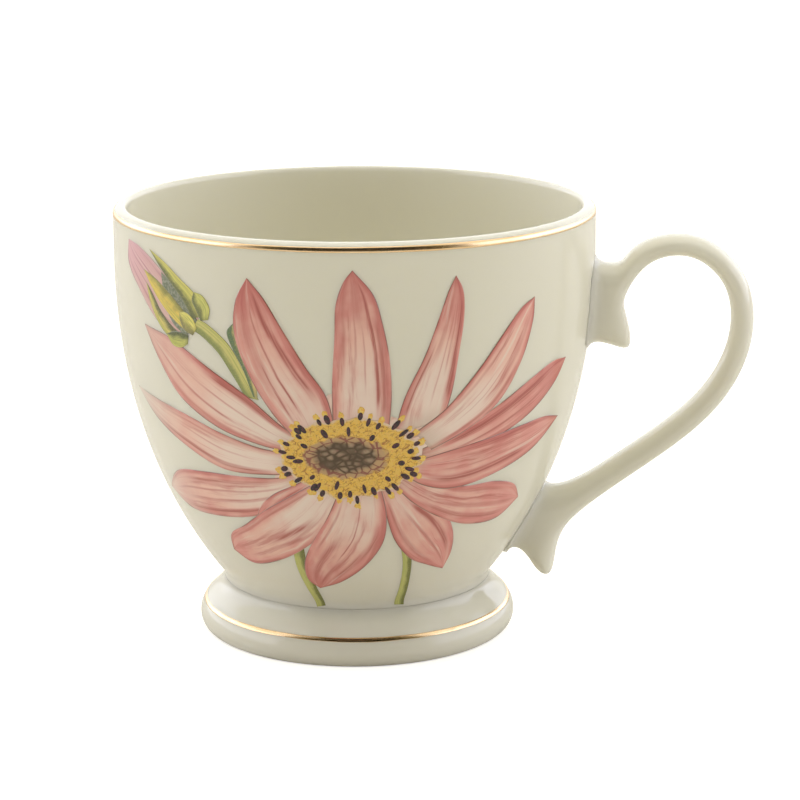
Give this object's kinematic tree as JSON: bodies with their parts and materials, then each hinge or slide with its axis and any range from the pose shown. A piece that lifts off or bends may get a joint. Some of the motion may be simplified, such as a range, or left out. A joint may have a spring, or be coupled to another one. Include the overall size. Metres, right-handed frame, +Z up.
{
  "type": "teacup",
  "caption": "Footed teacup with a deep round bowl, a flared foot, a loop handle luted to the wall, gold bands and a daisy transfer.",
  "frame": {"origin": "middle of the base of the cup's bounding box, on the surface that the foot stands on", "axes": "+Z up out of the bowl's mouth, +X towards the handle, the daisy faces -Y"},
  "size_m": [0.1334, 0.1014, 0.0912],
  "materials": {
    "glazed_porcelain": "glossy clear glaze over ivory porcelain",
    "slip": "fired luting slip under the glaze",
    "gold": "burnished liquid gold line",
    "petal_enamel": "fired rose watercolour enamel",
    "disc_enamel": "fired ochre and brown enamel",
    "stem_enamel": "fired leaf-green enamel",
    "bud_enamel": "fired rose and green enamel"
  },
  "bodies": {
    "root": {"bowl": "glazed_porcelain", "pedestal_foot": "glazed_porcelain", "handle": "glazed_porcelain", "foot_slip_joint": "slip", "handle_upper_slip": "slip", "handle_lower_slip": "slip", "rim_gold_band": "gold", "foot_gold_band": "gold", "daisy_petals": "petal_enamel", "daisy_disc": "disc_enamel", "daisy_stem_left": "stem_enamel", "daisy_stem_right": "stem_enamel", "daisy_bud": "bud_enamel"}
  },
  "joints": []
}
